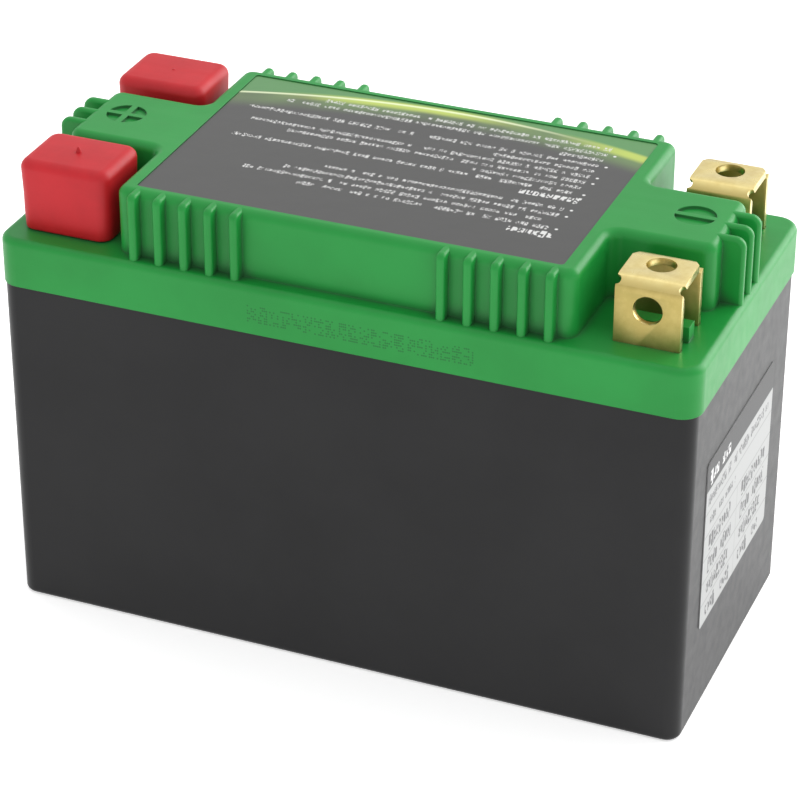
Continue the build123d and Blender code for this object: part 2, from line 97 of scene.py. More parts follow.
class Graph:
    """A material under construction: one Principled shader and the nodes that feed it."""

    def __init__(self, name: str) -> None:
        """Start an empty material.

        Args:
            name: the material's name.
        """
        self.material = bpy.data.materials.new(name)
        self.material.use_nodes = True
        self.tree = self.material.node_tree
        self.tree.nodes.clear()
        self.output = self.tree.nodes.new("ShaderNodeOutputMaterial")
        self.shader = self.tree.nodes.new("ShaderNodeBsdfPrincipled")
        self.tree.links.new(self.shader.outputs[0], self.output.inputs["Surface"])

    def add(self, kind: str, **settings: object) -> bpy.types.Node:
        """Add a node.

        Args:
            kind: the node's type name.
            **settings: attributes to set on it.

        Returns:
            The new node.
        """
        node = self.tree.nodes.new(kind)
        for key, value in settings.items():
            setattr(node, key, value)
        return node

    def feed(self, socket: Socket, value: object) -> None:
        """Link a socket to another, or set its value.

        Args:
            socket: the input to feed.
            value: an output socket or a plain value.
        """
        if isinstance(value, bpy.types.NodeSocket):
            self.tree.links.new(value, socket)
        else:
            socket.default_value = value

    def math(self, operation: str, first: Value, second: Value = 0.0) -> Socket:
        """A Math node's result.

        Args:
            operation: the Math node's operation.
            first: its first value.
            second: its second value.

        Returns:
            The result.
        """
        node = self.add("ShaderNodeMath", operation=operation)
        self.feed(node.inputs[0], first)
        self.feed(node.inputs[1], second)
        return node.outputs[0]

    def scaled(self, value: Value, factor: Value, start: Value) -> Socket:
        """A value times a factor, added to a start.

        Args:
            value: the value.
            factor: what it is multiplied by.
            start: what is added.

        Returns:
            The result.
        """
        node = self.add("ShaderNodeMath", operation="MULTIPLY_ADD")
        for socket, given in zip(node.inputs, (value, factor, start)):
            self.feed(socket, given)
        return node.outputs[0]

    def product(self, *values: Value) -> Socket:
        """All the values multiplied together.

        Args:
            *values: two or more values.

        Returns:
            Their product.
        """
        result = values[0]
        for value in values[1:]:
            result = self.math("MULTIPLY", result, value)
        return result

    def length(self, first: Value, second: Value) -> Socket:
        """The length of a step that goes first one way and second across it.

        Args:
            first: how far one way.
            second: how far across.

        Returns:
            The length.
        """
        squares = self.math("ADD", self.product(first, first), self.product(second, second))
        return self.math("SQRT", squares)

    def smooth(self, value: Value, low: float, high: float) -> Socket:
        """A soft step from 0 at low to 1 at high, or the other way where low is above high.

        Args:
            value: what is compared.
            low: where the step is 0.
            high: where the step is 1.

        Returns:
            The step.
        """
        node = self.add("ShaderNodeMapRange", interpolation_type="SMOOTHSTEP", clamp=True)
        self.feed(node.inputs["Value"], value)
        rising = low < high
        node.inputs["From Min"].default_value = low if rising else high
        node.inputs["From Max"].default_value = high if rising else low
        node.inputs["To Min"].default_value = 0.0 if rising else 1.0
        node.inputs["To Max"].default_value = 1.0 if rising else 0.0
        return node.outputs["Result"]

    def between(self, value: Value, low: float, high: float, soft: float = 0.04) -> Socket:
        """1 between low and high, 0 outside, with soft edges.

        Args:
            value: what is compared.
            low: the lower edge.
            high: the upper edge.
            soft: half the width of an edge.

        Returns:
            The band.
        """
        rise = self.smooth(value, low - soft, low + soft)
        fall = self.smooth(value, high + soft, high - soft)
        return self.product(rise, fall)

    def within(self, value: Value, low: Value, high: Value) -> Socket:
        """1 between low and high, 0 outside, with hard edges.

        Args:
            value: what is compared.
            low: the lower edge.
            high: the upper edge.

        Returns:
            The band.
        """
        above = self.math("GREATER_THAN", value, low)
        return self.product(above, self.math("LESS_THAN", value, high))

    def mix(self, factor: Value, first: object, second: object) -> Socket:
        """Two colours mixed.

        Args:
            factor: 0 for the first, 1 for the second.
            first: the first colour.
            second: the second colour.

        Returns:
            The mixed colour.
        """
        node = self.add("ShaderNodeMix", data_type="RGBA")
        self.feed(node.inputs["Factor"], factor)
        self.feed(node.inputs["A"], first)
        self.feed(node.inputs["B"], second)
        return node.outputs["Result"]

    def place(self) -> tuple[Socket, Socket, Socket, Socket]:
        """Object coordinates in millimetres.

        Returns:
            The vector and its three parts.
        """
        coords = self.add("ShaderNodeTexCoord")
        scaled = self.add("ShaderNodeVectorMath", operation="SCALE")
        self.feed(scaled.inputs[0], coords.outputs["Object"])
        scaled.inputs["Scale"].default_value = 1.0 / MM
        parts = self.add("ShaderNodeSeparateXYZ")
        self.feed(parts.inputs[0], scaled.outputs[0])
        return scaled.outputs[0], parts.outputs[0], parts.outputs[1], parts.outputs[2]

    def facing(self) -> tuple[Socket, Socket, Socket]:
        """How far the surface faces along X, Y and Z, whichever way.

        Returns:
            The three shares, each 0 to 1.
        """
        parts = self.add("ShaderNodeSeparateXYZ")
        self.feed(parts.inputs[0], self.add("ShaderNodeNewGeometry").outputs["Normal"])
        return tuple(self.math("ABSOLUTE", part) for part in parts.outputs)

    def vector(self, x: Value, y: Value, z: Value) -> Socket:
        """A vector from its three parts.

        Args:
            x: its first part.
            y: its second part.
            z: its third part.

        Returns:
            The vector.
        """
        node = self.add("ShaderNodeCombineXYZ")
        for socket, value in zip(node.inputs, (x, y, z)):
            self.feed(socket, value)
        return node.outputs[0]

    def stretch(self, vector: Socket, x: float, y: float, z: float) -> Socket:
        """A vector with its parts scaled, for a pattern drawn out along one way.

        Args:
            vector: the vector.
            x: factor along X.
            y: factor along Y.
            z: factor along Z.

        Returns:
            The scaled vector.
        """
        node = self.add("ShaderNodeVectorMath", operation="MULTIPLY")
        self.feed(node.inputs[0], vector)
        node.inputs[1].default_value = (x, y, z)
        return node.outputs[0]

    def noise(
        self, vector: Socket, scale: float, detail: float = 2.0, rough: float = 0.5
    ) -> Socket:
        """Fractal noise between 0 and 1.

        Args:
            vector: where, in millimetres.
            scale: features per millimetre.
            detail: octaves.
            rough: weight of the finer octaves.

        Returns:
            The noise.
        """
        node = self.add("ShaderNodeTexNoise")
        self.feed(node.inputs["Vector"], vector)
        node.inputs["Scale"].default_value = scale
        node.inputs["Detail"].default_value = detail
        node.inputs["Roughness"].default_value = rough
        return node.outputs["Fac"]

    def chance(self, x: Value, y: Value, z: Value) -> Socket:
        """A random value for each triple of whole numbers.

        Args:
            x: the first number.
            y: the second number.
            z: the third number.

        Returns:
            The value, between 0 and 1.
        """
        node = self.add("ShaderNodeTexWhiteNoise", noise_dimensions="3D")
        self.feed(node.inputs["Vector"], self.vector(x, y, z))
        return node.outputs["Value"]

    def steps(self, value: Value, levels: tuple[float, ...]) -> Socket:
        """A staircase over 0 to 1 with one equal tread for each level.

        Args:
            value: where on the staircase, 0 to 1.
            levels: the height of each tread.

        Returns:
            The height.
        """
        node = self.add("ShaderNodeValToRGB")
        self.feed(node.inputs["Fac"], value)
        ramp = node.color_ramp
        ramp.interpolation = "CONSTANT"
        for index, level in enumerate(levels):
            stop = ramp.elements[0] if index == 0 else ramp.elements.new(index / len(levels))
            stop.color = (level, level, level, 1.0)
        ramp.elements.remove(ramp.elements[-1])
        return node.outputs["Color"]

    def bump(self, height: Socket, depth_mm: float, normal: Socket | None = None) -> Socket:
        """A normal bent by a height between 0 and 1.

        Args:
            height: the height.
            depth_mm: what a height of 1 stands for.
            normal: the normal to start from.

        Returns:
            The new normal.
        """
        node = self.add("ShaderNodeBump")
        self.feed(node.inputs["Height"], height)
        node.inputs["Distance"].default_value = depth_mm * MM
        if normal is not None:
            self.feed(node.inputs["Normal"], normal)
        return node.outputs[0]

    def soft_edges(self, radius_mm: float) -> Socket:
        """A normal that is rounded over sharp edges.

        Args:
            radius_mm: radius of the rounding.

        Returns:
            The normal.
        """
        node = self.add("ShaderNodeBevel", samples=4)
        node.inputs["Radius"].default_value = radius_mm * MM
        return node.outputs[0]

    def finish(self, colour: object, roughness: Value, normal: Socket | None = None) -> None:
        """Feed the shader.

        Args:
            colour: base colour.
            roughness: roughness.
            normal: normal, where it is bent.
        """
        self.give("Base Color", colour)
        self.give("Roughness", roughness)
        if normal is not None:
            self.give("Normal", normal)

    def give(self, name: str, value: object) -> None:
        """Link or set one of the shader's inputs.

        Args:
            name: the input's name.
            value: an output socket or a plain value.
        """
        self.feed(self.shader.inputs[name], value)


# ---- finishes


@dataclass(frozen=True)
class MouldedPlastic:
    """A moulded or dipped plastic with slow shade changes, fine grain, handling marks and, where
    given, painted shade in narrow gaps.
    """

    name: str
    colour: Colour
    shade: Colour
    roughness: float
    grain: float  # depth of the surface's grain, mm
    grain_scale: float = 2.2
    mottle_scale: float = 0.035
    edge: float = 0.0  # rounding of sharp edges, mm
    specular: float = 0.5
    softness: float = 0.0  # share of light that goes through the surface
    gap_shade: Colour | None = None  # painted shade: greyer colour laid in narrow gaps, where the walls shade each other
    gap: float = 3.2  # how wide a gap may be and still get the painted gap shade, mm
    # how strongly the painted gap shade darkens the narrowest gaps
    gap_shade_share: float = 0.85
    speck_share: float = 0.12
    handling: float = 0.14  # spread of the roughness

    def graph(self) -> tuple[Graph, Socket, Socket]:
        """Build the colour with its painted gap shade, the roughness and the grain.

        Returns:
            The graph, its position vector and its base colour.
        """
        graph = Graph(self.name)
        vector, _, _, _ = graph.place()
        mottle = graph.noise(vector, self.mottle_scale, 4.0, 0.6)
        tone = graph.mix(graph.smooth(mottle, 0.3, 0.7), self.shade, self.colour)
        # painted shade: narrow gaps, found by ambient occlusion, are darkened towards the gap
        # colour
        if self.gap_shade is not None:
            gap_occlusion = graph.add("ShaderNodeAmbientOcclusion", samples=8)
            gap_occlusion.inputs["Distance"].default_value = self.gap * MM
            depth = graph.smooth(gap_occlusion.outputs["AO"], 0.78, 0.36)
            tone = graph.mix(graph.product(depth, self.gap_shade_share), tone, self.gap_shade)
        grain = graph.noise(vector, self.grain_scale, 4.0, 0.6)
        specks = graph.smooth(graph.noise(vector, 6.0, 1.0), 0.25, 0.75)
        tone = graph.mix(graph.product(specks, self.speck_share), tone, self.shade)
        rubbed = graph.noise(graph.stretch(vector, 0.05, 0.6, 0.6), 0.6, 3.0)
        rough = graph.scaled(rubbed, self.handling, self.roughness - self.handling / 2)
        normal = graph.soft_edges(self.edge) if self.edge else None
        graph.finish(tone, rough, graph.bump(grain, self.grain, normal))
        graph.give("Specular IOR Level", self.specular)
        if self.softness:
            graph.give("Subsurface Weight", self.softness)
            graph.give("Subsurface Radius", SCATTER)
            graph.give("Subsurface Scale", SCATTER_SCALE)
        return graph, vector, tone

    def material(self) -> bpy.types.Material:
        """The finished material."""
        return self.graph()[0].material


@dataclass(frozen=True)
class RolledMetal:
    """A rolled or stamped sheet metal with drawn-out rolling marks, slight tarnish and, where
    given, painted shade on its upright faces.
    """

    name: str
    colour: Colour
    tarnish: Colour
    roughness: float
    marks: float = 0.012  # depth of the rolling marks, mm
    tarnish_share: float = 0.35  # how much of the tarnish the small spots take on
    patina: float = 0.22  # spread of the roughness
    upright: Colour | None = None  # painted shade: darker colour for the faces that stand upright, standing in for the light they miss
    # how far the upright faces take on the painted shade
    upright_shade_share: float = 0.9
    upright_rough: float = 0.20  # what upright faces add to the roughness

    def material(self) -> bpy.types.Material:
        """Build the finished material.

        Returns:
            The material.
        """
        graph = Graph(self.name)
        vector, _, _, _ = graph.place()
        cloud = graph.noise(vector, 0.35, 5.0, 0.65)
        spots = graph.smooth(graph.noise(vector, 1.9, 3.0), 0.58, 0.74)
        clouded = graph.smooth(cloud, 0.35, 0.7)
        tone = graph.mix(clouded, self.colour, self.tarnish)
        tone = graph.mix(graph.product(spots, self.tarnish_share), tone, self.tarnish)
        # painted shade, clouded with tarnish: faces that stand upright and face along Y are
        # darkened towards the upright colour
        if self.upright is not None:
            across, _, up = graph.facing()
            level = graph.product(graph.smooth(up, 0.97, 0.45), graph.smooth(across, 0.7, 0.3))
            upright_shade_and_tarnish = graph.mix(0.62, graph.mix(clouded, self.upright, self.tarnish), self.upright)
            tone = graph.mix(graph.product(level, self.upright_shade_share), tone, upright_shade_and_tarnish)
        rolled = graph.noise(graph.stretch(vector, 0.35, 4.0, 4.0), 2.0, 4.0, 0.7)
        rough = graph.scaled(cloud, self.patina, self.roughness - self.patina / 2)
        if self.upright is not None:
            rough = graph.math("ADD", rough, graph.product(level, self.upright_rough))
        graph.finish(tone, rough, graph.bump(rolled, self.marks))
        graph.give("Metallic", 1.0)
        return graph.material


@dataclass(frozen=True)
class LidPlastic:
    """The lid's plastic, with a faint dotted batch code on the skirt of one long side."""

    base: MouldedPlastic
    ink: Colour
    first_x: float = -18.6  # where the code starts, mm
    low_z: float = 78.3  # foot of the code, mm
    pitch: float = 2.43  # from one sign to the next, mm
    signs: int = 20
    dot: float = 0.57  # from one row of dots to the next, mm
    dot_x: float = 0.42  # from one column of dots to the next, mm
    dot_rows: int = 7
    last_column: float = 4.5  # the columns past this one are the gap between signs
    dot_radius: float = 0.27
    dot_core: float = 0.12
    fill: float = 0.5  # share of the dots left out
    strength: float = 0.62
    depth: float = 0.15  # how far behind the face the code still shows, mm
    seed: float = 5.0
    sign_seeds: float = 7.0  # seeds set aside for the columns of one sign

    def material(self, skirt_y: float) -> bpy.types.Material:
        """Build the finished material.

        Args:
            skirt_y: where the face with the code is along Y, mm.

        Returns:
            The material.
        """
        graph, vector, tone = self.base.graph()
        parts = graph.add("ShaderNodeSeparateXYZ")
        graph.feed(parts.inputs[0], vector)
        x, y, z = parts.outputs
        along = graph.math("SUBTRACT", x, self.first_x)
        sign = graph.math("FLOOR", graph.math("DIVIDE", along, self.pitch))
        within = graph.math("SUBTRACT", along, graph.product(sign, self.pitch))
        column = graph.math("FLOOR", graph.math("DIVIDE", within, self.dot_x))
        up = graph.math("SUBTRACT", z, self.low_z)
        row = graph.math("FLOOR", graph.math("DIVIDE", up, self.dot))
        middle_x = graph.product(graph.math("ADD", column, 0.5), self.dot_x)
        middle_z = graph.product(graph.math("ADD", row, 0.5), self.dot)
        off_x = graph.math("SUBTRACT", within, middle_x)
        off_z = graph.math("SUBTRACT", up, middle_z)
        dots = graph.smooth(graph.length(off_x, off_z), self.dot_radius, self.dot_core)
        cell = graph.math("ADD", graph.product(sign, self.sign_seeds), column)
        marks = graph.math("GREATER_THAN", graph.chance(cell, row, self.seed), self.fill)
        field_x = graph.between(along, 0.0, self.pitch * self.signs, 0.02)
        field_z = graph.between(up, 0.0, self.dot * self.dot_rows, 0.02)
        narrow = graph.math("LESS_THAN", column, self.last_column)
        front = graph.math("LESS_THAN", y, skirt_y + self.depth)
        mask = graph.product(dots, marks, field_x, field_z, narrow, front, self.strength)
        graph.give("Base Color", graph.mix(mask, tone, self.ink))
        return graph.material


@dataclass(frozen=True)
class Print:
    """Small greeked print: rows of word-like groups of marks that spell nothing."""

    letter: float = 0.86  # width of a letter, mm
    height: float = 1.5
    gap: float = 0.17  # share of letters that are spaces
    fill: float = 0.42  # share of each letter left blank
    short: float = 0.62  # share of the letters that are short
    short_reach: float = 0.34  # reach of a short letter to each side, share of the height
    tall_reach: float = 0.18  # what a tall one adds to it
    strokes_across: float = 4.0
    strokes_up: float = 5.0
    word_seed: float = 1.0
    tall_seed: float = 2.0
    start: float = 0.04  # where a letter's ink starts and ends, share of its width
    end: float = 0.84

    def ink(self, graph: Graph, along: Value, across: Value, row: Value) -> Socket:
        """Where the ink is.

        Args:
            graph: the material.
            along: distance along the row, mm.
            across: distance from the row's middle, mm.
            row: the row's number.

        Returns:
            The ink, 0 or 1, with no end to the row.
        """
        cell = graph.math("DIVIDE", along, self.letter)
        letter = graph.math("FLOOR", cell)
        inside = graph.math("FRACT", cell)
        word = graph.math("GREATER_THAN", graph.chance(letter, row, self.word_seed), self.gap)
        tall = graph.math("GREATER_THAN", graph.chance(letter, row, self.tall_seed), self.short)
        reach = graph.scaled(tall, self.height * self.tall_reach, self.height * self.short_reach)
        body = graph.math("LESS_THAN", graph.math("ABSOLUTE", across), reach)
        stroke_x = graph.math("FLOOR", graph.product(cell, self.strokes_across))
        stroke_y = graph.math("FLOOR", graph.math("DIVIDE", across, self.height / self.strokes_up))
        strokes = graph.math("GREATER_THAN", graph.chance(stroke_x, stroke_y, row), self.fill)
        side = graph.between(inside, self.start, self.end, 0.03)
        return graph.product(word, body, strokes, side)


@dataclass(frozen=True)
class Paragraph:
    """A block of greeked rows under a heading, on the top label."""

    heading: float  # Y of the heading, mm
    heading_reach: float  # length of the heading, mm
    first: float  # Y of the first row, mm
    pitch: float  # from one row to the next, mm
    rows: tuple[float, ...]  # share of the full width that each row fills
    bullets: tuple[float, ...]  # 1 for each row that starts with a bullet


@dataclass(frozen=True)
class TopPrint:
    """The top label: dark film, a glowing green sweep along one edge and white print."""

    film: Colour = (0.040, 0.040, 0.039, 1.0)
    olive: Colour = (0.105, 0.185, 0.055, 1.0)
    green: Colour = (0.060, 0.235, 0.060, 1.0)
    lime: Colour = (0.42, 0.52, 0.075, 1.0)
    glow: Colour = (0.78, 0.86, 0.55, 1.0)
    white: Colour = (0.62, 0.62, 0.61, 1.0)
    crest_x: float = 2.0  # where the sweep's edge is highest, mm
    crest_y: float = 27.7  # how high it is there, mm
    crest_half: float = 45.0  # how far from there it has dropped by crest_drop, mm
    crest_drop: float = 6.6
    right: float = 37.2  # X of the rows' start, mm
    width: float = 77.6  # length of a full row, mm
    row_strength: float = 0.86
    bullet_back: float = 1.6  # how far the bullets stand before the rows, mm
    bullet_radius: float = 0.42
    bullet_core: float = 0.26
    heading_back: float = 1.9  # how far the headings start before the rows, mm
    heading_seed: float = 50.0
    row_seeds: float = 20.0  # seeds set aside for the rows of one paragraph
    rough: float = 0.28
    dusty: float = 0.05  # what dust adds to the roughness
    small: Print = Print()
    large: Print = Print(letter=1.45, height=2.7, gap=0.0, fill=0.30)
    paragraphs: tuple[Paragraph, ...] = (
        Paragraph(-18.1, 9.4, -15.1, 2.93, (0.69, 0.86, 0.76, 0.66), (1, 0, 1, 1)),
        Paragraph(
            -1.9, 12.8, 1.1, 2.73,
            (0.97, 0.30, 0.85, 0.97, 0.28, 1.0, 0.12, 0.92, 0.82), (1, 0, 1, 1, 0, 1, 0, 1, 0),
        ),
    )

    def sweep(self, graph: Graph, x: Socket, y: Socket, vector: Socket) -> Socket:
        """Colour of the film with its sweep of light.

        Args:
            graph: the material.
            x: place along the label, mm.
            y: place across the label, mm.
            vector: the same place as a vector.

        Returns:
            The colour.
        """
        off = graph.math("DIVIDE", graph.math("SUBTRACT", x, self.crest_x), self.crest_half)
        crest = graph.scaled(graph.product(off, off), -self.crest_drop, self.crest_y)
        rise = graph.math("SUBTRACT", y, crest)
        wave = graph.noise(graph.stretch(vector, 1.0, 0.3, 1.0), 0.05, 2.0)
        haze = graph.product(graph.smooth(rise, -8.5, -2.5), graph.smooth(wave, 0.15, 0.5))
        colour = graph.mix(haze, self.film, self.olive)
        above = graph.product(graph.smooth(rise, -0.2, 0.9), 0.85)
        colour = graph.mix(above, colour, self.green)
        left_swell = graph.between(x, -28.0, 10.0, 12.0)
        right_swell = graph.smooth(x, 22.0, 42.0)
        swell = graph.math("MAXIMUM", left_swell, right_swell)
        broad = graph.product(graph.smooth(rise, -3.2, -1.1), graph.smooth(rise, 1.5, 0.1))
        colour = graph.mix(graph.product(broad, swell, 0.95), colour, self.lime)
        thin = graph.product(graph.smooth(rise, -0.9, -0.15), graph.smooth(rise, 0.45, 0.05))
        fading = graph.smooth(x, 38.0, 8.0)
        return graph.mix(graph.product(thin, fading, 0.75), colour, self.glow)

    def written(self, graph: Graph, y: Socket, from_right: Socket, index: int) -> Socket:
        """Where the ink of one paragraph and its heading is.

        Args:
            graph: the material.
            y: place across the label, mm.
            from_right: distance from the start of the rows, mm.
            index: the paragraph's number.

        Returns:
            The ink, 0 to 1.
        """
        part = self.paragraphs[index]
        count = len(part.rows)
        start = part.first - part.pitch / 2
        down = graph.math("DIVIDE", graph.math("SUBTRACT", y, start), part.pitch)
        share = graph.math("DIVIDE", down, count)
        row = graph.math("FLOOR", down)
        middle = graph.math("SUBTRACT", graph.math("FRACT", down), 0.5)
        across = graph.product(middle, part.pitch)
        block = graph.between(down, 0.0, count, 0.001)
        reach = graph.product(graph.steps(share, part.rows), self.width)
        length = graph.within(from_right, 0.0, reach)
        seed = graph.math("ADD", row, self.row_seeds * index)
        marks = self.small.ink(graph, from_right, across, seed)
        rows = graph.product(marks, block, length, self.row_strength)
        aside = graph.math("ADD", from_right, self.bullet_back)
        spot = graph.smooth(graph.length(aside, across), self.bullet_radius, self.bullet_core)
        bullet = graph.product(spot, graph.steps(share, part.bullets), block)
        lead = graph.math("ADD", from_right, self.heading_back)
        beside = graph.math("SUBTRACT", y, part.heading)
        title = self.large.ink(graph, lead, beside, self.heading_seed + index)
        heading = graph.product(title, graph.between(lead, 0.0, part.heading_reach))
        return graph.math("MAXIMUM", graph.math("MAXIMUM", rows, bullet), heading)

    def material(self) -> bpy.types.Material:
        """Build the finished material.

        Returns:
            The material.
        """
        graph = Graph("printed_top_film")
        vector, x, y, _ = graph.place()
        colour = self.sweep(graph, x, y, vector)
        from_right = graph.math("SUBTRACT", self.right, x)
        ink: Value = 0.0
        for index in range(len(self.paragraphs)):
            ink = graph.math("MAXIMUM", ink, self.written(graph, y, from_right, index))
        colour = graph.mix(ink, colour, self.white)
        dust = graph.smooth(graph.noise(vector, 3.0, 3.0, 0.7), 0.55, 0.8)
        ripple = graph.bump(graph.noise(vector, 0.12, 2.0), 0.05)
        graph.finish(colour, graph.scaled(dust, self.dusty, self.rough), ripple)
        return graph.material


@dataclass(frozen=True)
class EndPrint:
    """The end label: a dark header over a white table with greeked entries."""

    left: float  # the label's edges, mm
    right: float
    low: float
    high: float
    header: float = 6.5  # height of the header, mm
    rows: int = 6
    note_rows: tuple[float, ...] = (0.96, 0.45, 0.0, 0.0, 0.0, 0.0)  # share each note fills
    divider: float = 0.495  # where the table's middle line is, share of the width
    rule_share: float = 0.55  # strength of the table's lines
    ink_share: float = 0.9
    indent: float = 3.2  # from the label's edge to the entries, mm
    second_indent: float = 2.9  # from the middle line to the entries right of it, mm
    shortest: float = 14.0  # length of the shortest entry, mm
    spread: float = 3.0  # what the longest one adds to it, mm
    note_indent: float = 1.6
    title_indent: float = 2.0
    title_end: float = 16.0
    title_level: float = 0.36  # height of the title's middle, share of the header
    entry_seed: float = 4.0
    title_seed: float = 70.0
    rough: float = 0.36
    specular: float = 0.25
    title_ink: Colour = (0.6, 0.6, 0.6, 1.0)
    paper: Colour = (0.36, 0.365, 0.362, 1.0)
    dark: Colour = (0.0105, 0.0105, 0.0112, 1.0)
    line: Colour = (0.13, 0.13, 0.13, 1.0)
    ink: Colour = (0.035, 0.035, 0.038, 1.0)
    cut: Colour = (0.26, 0.26, 0.26, 1.0)  # the paper's cut edge
    entry: Print = Print(letter=1.7, height=3.6, gap=0.06, fill=0.27)
    note: Print = Print(letter=1.05, height=2.3, gap=0.12, fill=0.32)
    title: Print = Print(letter=2.0, height=3.4, gap=0.12, fill=0.24)

    def table(self, graph: Graph, along: Socket, z: Socket) -> Socket:
        """Colour of the table with its lines, entries and notes.

        Args:
            graph: the material.
            along: distance from the label's left edge, mm.
            z: height, mm.

        Returns:
            The colour.
        """
        top = self.high - self.header
        pitch = (top - self.low) / self.rows
        width = self.right - self.left
        middle = width * self.divider
        down = graph.math("DIVIDE", graph.math("SUBTRACT", top, z), pitch)
        row = graph.math("FLOOR", down)
        across = graph.product(graph.math("SUBTRACT", 0.5, graph.math("FRACT", down)), pitch)
        lower = graph.math("GREATER_THAN", row, 1.5)
        edge = graph.math("ABSOLUTE", across)
        rule = graph.smooth(edge, pitch / 2 - 0.22, pitch / 2 - 0.08)
        divider = graph.product(graph.between(along, middle - 0.1, middle + 0.1, 0.08), lower)
        lines = graph.product(graph.math("MAXIMUM", rule, divider), self.rule_share)
        colour = graph.mix(lines, self.paper, self.line)
        second = graph.math("GREATER_THAN", along, middle)
        step = middle + self.second_indent - self.indent
        entry_along = graph.math("SUBTRACT", along, graph.scaled(second, step, self.indent))
        chance = graph.chance(row, second, self.entry_seed)
        entry_end = graph.scaled(chance, self.spread, self.shortest)
        entry_width = graph.within(entry_along, 0.0, entry_end)
        entries = graph.product(self.entry.ink(graph, entry_along, across, row), entry_width, lower)
        note_reach = graph.steps(graph.math("DIVIDE", down, self.rows), self.note_rows)
        note_width = graph.within(along, self.note_indent, graph.product(note_reach, width))
        notes = graph.product(self.note.ink(graph, along, across, row), note_width)
        ink = graph.product(graph.math("MAXIMUM", entries, notes), self.ink_share)
        return graph.mix(ink, colour, self.ink)

    def material(self) -> bpy.types.Material:
        """Build the finished material.

        Returns:
            The material.
        """
        graph = Graph("printed_end_paper")
        vector, _, y, z = graph.place()
        top = self.high - self.header
        along = graph.math("SUBTRACT", y, self.left)
        across = graph.math("SUBTRACT", z, top + self.header * self.title_level)
        lead = graph.math("SUBTRACT", along, self.title_indent)
        title = graph.product(
            self.title.ink(graph, lead, across, self.title_seed),
            graph.between(along, self.title_indent, self.title_end, 0.02),
        )
        header = graph.mix(title, self.dark, self.title_ink)
        head = graph.math("GREATER_THAN", z, top)
        colour = graph.mix(head, self.table(graph, along, z), header)
        cut_edge = graph.smooth(graph.facing()[0], 0.8, 0.5)
        colour = graph.mix(cut_edge, colour, self.cut)
        fibre = graph.noise(vector, 1.8, 4.0, 0.7)
        graph.finish(colour, self.rough, graph.bump(fibre, 0.01))
        graph.give("Specular IOR Level", self.specular)
        return graph.material


@dataclass(frozen=True)
class StudioFloor:
    """The pale, even floor of the studio."""

    colour: Colour = (0.92, 0.92, 0.92, 1.0)
    shade: Colour = (0.88, 0.88, 0.88, 1.0)
    shade_share: float = 0.02
    rough: float = 0.9
    glow: float = 0.45  # an even light from below, as on a light table

    def material(self) -> bpy.types.Material:
        """Build the finished material.

        Returns:
            The material.
        """
        graph = Graph("studio_floor")
        vector, _, _, _ = graph.place()
        clouds = graph.product(graph.noise(vector, 0.01, 2.0), self.shade_share)
        graph.finish(graph.mix(clouds, self.colour, self.shade), self.rough)
        graph.give("Emission Color", self.colour)
        graph.give("Emission Strength", self.glow)
        return graph.material


# the lid's narrow gaps get a painted shade colour
GREEN = MouldedPlastic(
    "green_lid_plastic", (0.012, 0.262, 0.042, 1.0), (0.009, 0.225, 0.034, 1.0), 0.38, 0.010,
    edge=0.22, specular=0.29, gap_shade=(0.030, 0.105, 0.042, 1.0),
)
CODE_INK = (0.004, 0.085, 0.018, 1.0)
BLACK = MouldedPlastic(
    "black_case_plastic", (0.0105, 0.0105, 0.0112, 1.0), (0.0075, 0.0075, 0.0082, 1.0), 0.36, 0.012,
    edge=0.30, specular=0.25,
)
RED = MouldedPlastic(
    "red_dipped_vinyl", (0.50, 0.008, 0.015, 1.0), (0.43, 0.006, 0.012, 1.0), 0.50, 0.02,
    grain_scale=0.5, mottle_scale=0.12, softness=0.06, specular=0.36,
)
# the brass's upright faces get a painted shade colour
BRASS = RolledMetal(
    "rolled_brass", (0.79, 0.665, 0.305, 1.0), (0.70, 0.565, 0.235, 1.0), 0.30,
    upright=(0.43, 0.335, 0.105, 1.0),
)
COPPER = RolledMetal("bare_copper", (0.90, 0.50, 0.33, 1.0), (0.62, 0.30, 0.18, 1.0), 0.36)
NICKEL = RolledMetal("nickel_plate", (0.72, 0.70, 0.66, 1.0), (0.55, 0.53, 0.49, 1.0), 0.30)
POUCH = RolledMetal(
    "pouch_laminate", (0.78, 0.79, 0.81, 1.0), (0.62, 0.63, 0.66, 1.0), 0.42, marks=0.05
)
STEEL = RolledMetal("zinc_plated_steel", (0.62, 0.63, 0.66, 1.0), (0.45, 0.45, 0.46, 1.0), 0.35)
CARD = MouldedPlastic(
    "insulating_card", (0.62, 0.58, 0.46, 1.0), (0.50, 0.46, 0.36, 1.0), 0.7, 0.02
)
TAPE = MouldedPlastic("amber_tape", (0.55, 0.30, 0.03, 1.0), (0.42, 0.21, 0.02, 1.0), 0.3, 0.02)
FOAM = MouldedPlastic("grey_foam", (0.06, 0.06, 0.065, 1.0), (0.03, 0.03, 0.035, 1.0), 0.95, 0.25)
LAMINATE = MouldedPlastic(
    "board_laminate", (0.012, 0.13, 0.04, 1.0), (0.01, 0.09, 0.03, 1.0), 0.35, 0.01
)
RESIN = MouldedPlastic(
    "chip_resin", (0.02, 0.02, 0.02, 1.0), (0.012, 0.012, 0.012, 1.0), 0.5, 0.02
)
